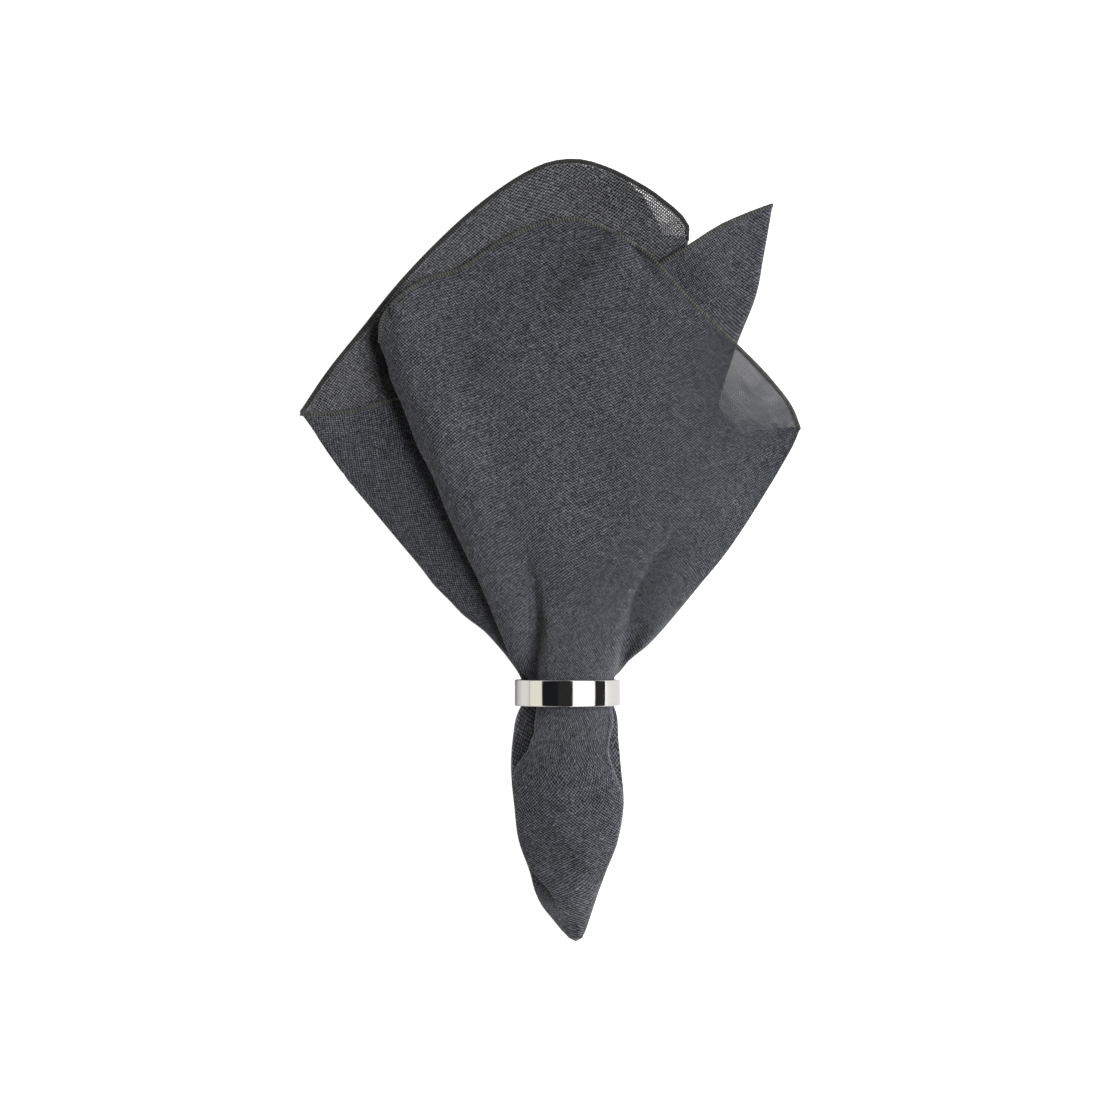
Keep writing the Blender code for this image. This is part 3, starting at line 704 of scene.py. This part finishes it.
# Each point's place on the flat square: as far from its centre as its row, towards its column's place on
# the hem.
along_row = np.append(tail_y, FAN_START) - TIP[1]
tail_length = along_row * GATHERED / along_row[-1]
reach = flat_place(columns["hem_at"], 1.0)[2]
fan_length = GATHERED + (reach - GATHERED) * fan_share[:, None]
cloth_length = np.concatenate([tail_length[:, None] + 0.0 * reach, fan_length])
flat_u, flat_v = flat_place(columns["hem_at"], cloth_length)[:2]
cloth_uv = np.stack([flat_u, flat_v], axis=-1) / CUT + 0.5

napkin = add_mesh(
    "napkin_cloth",
    np.concatenate([[TIP], cloth.reshape(-1, 3)]),
    loop_faces(*cloth.shape[:2]),
    np.concatenate([[(0.5, 0.5)], cloth_uv.reshape(-1, 2)]),
    linen_surface("linen_outer_face", *OUTER_FACE),
    linen_surface("linen_inner_face_painted_lighter", *INNER_FACE_PAINTED_LIGHTER),
)
sheet = napkin.modifiers.new("sheet", "SOLIDIFY")
sheet.thickness = CLOTH_THICKNESS * MM
sheet.offset = 0.0
sheet.use_quality_normals = True
sheet.material_offset = 1
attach(napkin, "root")
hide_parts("napkin")

# The stitched edge: an overlock seam that wraps the raw edge all round in an olive grey thread. It is
# about 2 mm wide, with nine slanted stitches for every centimetre. Its thread is pale on the outer face
# and dark on the inner one.
EDGE_WIDTH = 1.9
EDGE_THICKNESS = 0.95
EDGE_AROUND = 8  # points round the seam
EDGE_INSET = 0.28  # how far its middle lies inside the hem, as a share of its width
STITCH_PITCH = 1.12
STITCH_SLANT = 0.16  # how many stitches further along the outer side of the edge is than its middle
STITCH_SAMPLES = 5
STITCH_SWELL = 0.13  # how much it swells and shrinks, as a share
STITCH_WIDENS = 0.1  # share of the swelling that shows in the width
STITCH_RELIEF = 0.1  # millimetres of bump
THREAD_DARK = (0.013, 0.014, 0.013, 1.0)
THREAD_LIGHT = (0.122, 0.126, 0.113, 1.0)


def edge_points(cloth):
    """A flat oval carried along the hem, swelling and shrinking once for each stitch, on a slant."""
    hem, inner = cloth[-1], cloth[-3]
    closed = np.concatenate([hem, hem[:1]])
    length = np.append(0.0, np.cumsum(np.linalg.norm(np.diff(closed, axis=0), axis=1)))
    stitches = int(round(length[-1] / STITCH_PITCH))
    at = np.arange(stitches * STITCH_SAMPLES) / (stitches * STITCH_SAMPLES) * length[-1]
    outward = hem - inner
    outward = np.concatenate([outward, outward[:1]])
    path = np.column_stack([np.interp(at, length, closed[:, k]) for k in range(3)])
    out = np.column_stack([np.interp(at, length, outward[:, k]) for k in range(3)])
    along = np.roll(path, -1, axis=0) - np.roll(path, 1, axis=0)
    along /= np.linalg.norm(along, axis=1)[:, None]
    out -= (out * along).sum(1)[:, None] * along
    out /= np.linalg.norm(out, axis=1)[:, None]
    up = np.cross(out, along)
    turn = 2.0 * np.pi * np.arange(EDGE_AROUND) / EDGE_AROUND
    stitch = np.arange(len(at))[:, None] / STITCH_SAMPLES + 0.0 * turn
    swell = 1.0 + STITCH_SWELL * np.cos(2.0 * np.pi * (stitch + STITCH_SLANT * np.cos(turn)))
    widened = 1.0 - STITCH_WIDENS + STITCH_WIDENS * swell
    wide = EDGE_WIDTH / 2.0 * np.cos(turn) * widened - EDGE_WIDTH * EDGE_INSET
    thick = EDGE_THICKNESS / 2.0 * np.sin(turn) * swell
    points = path[:, None] + wide[..., None] * out[:, None] + thick[..., None] * up[:, None]
    return points, np.stack([stitch, np.arange(EDGE_AROUND) / EDGE_AROUND + 0.0 * stitch], axis=-1)


def ring_faces(rows, columns):
    """Faces of a grid that is closed both ways."""
    row = np.arange(rows)[:, None]
    column = np.arange(columns)
    after, right = (row + 1) % rows, (column + 1) % columns
    quads = np.stack([
        row * columns + column,
        after * columns + column,
        after * columns + right,
        row * columns + right,
    ], axis=-1)
    return quads.reshape(-1, 4).tolist()


def edge_surface():
    """Thread colour, darker between stitches (partly the dark cloth there, partly painted shade in the
    grooves) and on the inner face, uneven by stitch.
    """
    n = Nodes(bpy.data.materials.new("overlock_thread"))
    stitch, around = n.flat_place()
    turn = n.times(around, 2.0 * np.pi)
    slanted = n.add(stitch, n.times(n.math("COSINE", turn), STITCH_SLANT))
    wave = n.math("COSINE", n.times(slanted, 2.0 * np.pi))
    own = n.chance(n.join(n.math("FLOOR", n.add(slanted, 0.5)), 3.0))
    outer = n.remap(n.math("SINE", turn), -0.4, 0.4, 1.0, 0.3)
    # Darker between stitches: partly the dark cloth showing there, partly painted shade in the grooves.
    shade = n.add(n.remap(wave, -0.7, 0.8, 0.1, 0.65), n.times(own, 0.35), clamp=True)
    n.put(n.shader.inputs["Base Color"], n.blend(n.times(shade, outer), THREAD_DARK, THREAD_LIGHT))
    n.shader.inputs["Roughness"].default_value = 0.75
    n.shader.inputs["Sheen Weight"].default_value = 0.15
    n.bump(wave, STITCH_RELIEF * MM)
    return n.owner


edge_grid, edge_uv = edge_points(cloth)
edge = add_mesh(
    "stitched_edge",
    edge_grid.reshape(-1, 3),
    ring_faces(*edge_grid.shape[:2]),
    edge_uv.reshape(-1, 2),
    edge_surface(),
)
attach(edge, "root")

# The ring: one band of metal, bent round, closed and polished to a mirror. Its edges are broken by a
# small rounding. It stands on the surface and grips the gathered cloth.
RING_RADIUS = 21.0
RING_WALL = 1.2
RING_WIDTH = 10.4
RING_ROUNDING = 0.35
ROUNDING_STEPS = 4
RING_STEPS = 288
HAIRLINES = 9000.0  # hairlines in each metre across the band
HAIRLINE_CHANGES = 60.0  # how often each changes in a metre
MARKS = 220.0  # faint marks in each metre


def band_profile():
    """The wall's outline, radius and place along the axis: a rectangle with its corners rounded."""
    corner = np.radians(np.linspace(0.0, 90.0, ROUNDING_STEPS + 1))
    half = RING_WIDTH / 2.0 - RING_ROUNDING
    outer = RING_RADIUS - RING_ROUNDING
    inner = RING_RADIUS - RING_WALL + RING_ROUNDING
    parts = []
    for turn, (radius, along) in enumerate(((outer, half), (inner, half), (inner, -half), (outer, -half))):
        angle = corner + turn * np.pi / 2.0
        rounded = np.column_stack([np.cos(angle), np.sin(angle)]) * RING_ROUNDING
        parts.append(rounded + (radius, along))
    return np.concatenate(parts)


def band_points():
    """The profile turned about the ring's axis, which lies along Y at one radius above the surface."""
    profile = band_profile()
    turn = 2.0 * np.pi * np.arange(RING_STEPS)[:, None] / RING_STEPS
    return np.stack([
        profile[:, 0] * np.sin(turn),
        profile[:, 1] + 0.0 * turn,
        RING_RADIUS + profile[:, 0] * np.cos(turn),
    ], axis=-1)


def metal_surface():
    """Mirror polish with fine hairlines round the band and faint marks."""
    n = Nodes(bpy.data.materials.new("polished_metal"))
    place = n.new("ShaderNodeTexCoord").outputs["Object"]
    x, y = n.split(place)[:2]
    hairlines = n.noise(n.join(n.times(y, HAIRLINES), n.times(x, HAIRLINE_CHANGES)), 1.0)
    marks = n.noise(place, MARKS, 4.0)
    rough = n.add(n.remap(hairlines, 0.3, 0.8, 0.02, 0.06), n.remap(marks, 0.45, 0.75, 0.0, 0.05))
    n.shader.inputs["Base Color"].default_value = (0.90, 0.885, 0.86, 1.0)
    n.shader.inputs["Metallic"].default_value = 1.0
    n.put(n.shader.inputs["Roughness"], rough)
    return n.owner


band = band_points()
band_uv = np.stack(np.meshgrid(
    np.arange(band.shape[1]) / band.shape[1], np.arange(RING_STEPS) / RING_STEPS
), axis=-1)
ring = add_mesh(
    "ring_band",
    band.reshape(-1, 3),
    ring_faces(*band.shape[:2]),
    band_uv.reshape(-1, 2),
    metal_surface(),
)
ring.data.set_sharp_from_angle(angle=np.radians(40.0))
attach(ring, "root")
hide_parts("ring")

# The surface that the napkin lies on: plain and pale, with a glow of its own as a light table has. The
# metal mirrors only part of that glow.
FLOOR_SIZE = 8.0  # metres
FLOOR_GLOW = 1.0
MIRRORED_GLOW = 0.13


def add_floor():
    """One flat sheet under everything."""
    half = FLOOR_SIZE / 2.0
    corners = [(-half, -half, 0.0), (half, -half, 0.0), (half, half, 0.0), (-half, half, 0.0)]
    mesh = bpy.data.meshes.new("surface")
    mesh.from_pydata(corners, [], [(0, 1, 2, 3)])
    made = bpy.data.objects.new("surface", mesh)
    bpy.context.scene.collection.objects.link(made)
    n = Nodes(bpy.data.materials.new("pale_surface"))
    n.shader.inputs["Base Color"].default_value = (0.80, 0.80, 0.80, 1.0)
    n.shader.inputs["Roughness"].default_value = 0.85
    n.shader.inputs["Specular IOR Level"].default_value = 0.1
    n.shader.inputs["Emission Color"].default_value = (1.0, 0.99, 0.97, 1.0)
    mirrored = n.new("ShaderNodeLightPath").outputs["Is Glossy Ray"]
    n.put(n.shader.inputs["Emission Strength"], n.remap(mirrored, 0.0, 1.0, FLOOR_GLOW, MIRRORED_GLOW))
    mesh.materials.append(n.owner)
    return made


add_floor()

# The light: one large soft box above and to the right, dark overhead, and pale walls low down all round.
# The metal mirrors black and grey cards overhead, a white one to the right of them, a narrow grey one
# beyond, and pale walls at both sides. Lengths here are in metres.
BOX_FROM_ZENITH = 44.0
BOX_TURN = 12.0  # from +X towards +Y, in degrees
BOX_DISTANCE = 2.4
BOX_SIZE = (1.8, 2.6)
BOX_POWER = 71.5
WALLS_FROM = 74.0  # degrees from straight up
WALLS_EDGE = 0.02  # how soft the walls' upper edge is
WALL_GLOW = 1.3
OVERHEAD_GLOW = 0.03
CARD_GLOW = 1.3
ROOM_COLOUR = (1.0, 0.985, 0.95, 1.0)
SEEN_COLOUR = (0.95, 0.95, 0.95, 1.0)
CREAM_WALL = (0.63, 0.615, 0.53, 1.0)
PALE_WALL = (0.68, 0.675, 0.66, 1.0)
WHITE_CARD = (1.0, 1.0, 0.99, 1.0)
BLACK_CARD = (0.0080, 0.0086, 0.0115, 1.0)
GREY_CARD = (0.018, 0.018, 0.017, 1.0)
Stop = namedtuple("Stop", "degrees colour")
MIRRORED = (
    Stop(-180.0, CREAM_WALL), Stop(-59.4, CREAM_WALL), Stop(-57.2, BLACK_CARD), Stop(-24.0, BLACK_CARD),
    Stop(-18.0, GREY_CARD), Stop(10.4, GREY_CARD), Stop(13.0, WHITE_CARD), Stop(61.0, WHITE_CARD),
    Stop(63.6, GREY_CARD), Stop(93.6, GREY_CARD), Stop(96.4, PALE_WALL),
)


def add_soft_box():
    """A rectangular light, leaned from straight overhead and turned about Z, aimed at the origin."""
    lamp = bpy.data.lights.new("soft_box", "AREA")
    lamp.shape = "RECTANGLE"
    lamp.size, lamp.size_y = BOX_SIZE
    lamp.energy = BOX_POWER
    made = bpy.data.objects.new("soft_box", lamp)
    lean, turn = np.radians(BOX_FROM_ZENITH), np.radians(BOX_TURN)
    out = BOX_DISTANCE * np.sin(lean)
    made.location = (out * np.cos(turn), out * np.sin(turn), BOX_DISTANCE * np.cos(lean))
    made.rotation_euler = (0.0, lean, turn)
    made.visible_camera = False
    made.visible_glossy = False
    bpy.context.scene.collection.objects.link(made)


def background(n, colour, strength):
    """One Background node."""
    node = n.new("ShaderNodeBackground")
    n.put(node.inputs["Color"], colour)
    n.put(node.inputs["Strength"], strength)
    return node.outputs[0]


def either(n, share, first, second):
    """One Mix Shader node: the first where the share is 0, the second where it is 1."""
    node = n.new("ShaderNodeMixShader")
    for socket, value in zip(node.inputs, (share, first, second)):
        n.put(socket, value)
    return node.outputs[0]


def mirrored_cards(n, share):
    """The colours of the walls and cards, by the share of the full turn round the ring's axis."""
    ramp = n.new("ShaderNodeValToRGB")
    n.put(ramp.inputs[0], share)
    stops = ramp.color_ramp.elements
    for stop in MIRRORED[2:]:
        stops.new(0.5)
    for element, stop in zip(list(stops), MIRRORED):
        element.position = stop.degrees / 360.0 + 0.5
        element.color = stop.colour
    return ramp.outputs[0]


def studio_world():
    """Pale walls below an angle from straight up, dark above it, and one pale tone for the camera.

    The metal sees a ramp of walls and cards by the angle from straight up towards +X, from -180 to 180."""
    n = Nodes(bpy.data.worlds.new("studio"))
    bpy.context.scene.world = n.owner
    n.tree.nodes.clear()
    x, _, z = n.split(n.new("ShaderNodeTexCoord").outputs["Generated"])
    edge = np.cos(np.radians(WALLS_FROM))
    glow = n.remap(z, edge + WALLS_EDGE, edge - WALLS_EDGE, OVERHEAD_GLOW, WALL_GLOW)
    room = background(n, ROOM_COLOUR, glow)
    share = n.math("MULTIPLY_ADD", n.math("ARCTAN2", x, z), 0.5 / np.pi, 0.5)
    cards = background(n, mirrored_cards(n, share), CARD_GLOW)
    ray = n.new("ShaderNodeLightPath").outputs
    lit = either(n, ray["Is Glossy Ray"], room, cards)
    seen = either(n, ray["Is Camera Ray"], lit, background(n, SEEN_COLOUR, 1.0))
    n.put(n.new("ShaderNodeOutputWorld").inputs[0], seen)


add_soft_box()
studio_world()

# The camera looks straight down from so far that the picture is nearly without perspective. What it
# shows is as wide as said at the height of the upper layers.
LENS = 220.0
SENSOR = 36.0
PICTURE_WIDTH = 440.0
PICTURE_HEIGHT_AT = 10.0
PICTURE_MIDDLE = -0.3  # X in the middle of the picture
CLIP_END = 20.0  # metres
camera_data = bpy.data.cameras.new("camera")
camera_data.lens = LENS
camera_data.sensor_width = SENSOR
camera_data.clip_end = CLIP_END
camera = bpy.data.objects.new("camera", camera_data)
camera.location = (PICTURE_MIDDLE * MM, 0.0, (PICTURE_WIDTH * LENS / SENSOR + PICTURE_HEIGHT_AT) * MM)
bpy.context.scene.collection.objects.link(camera)
bpy.context.scene.camera = camera
bpy.context.scene.view_settings.view_transform = "Standard"
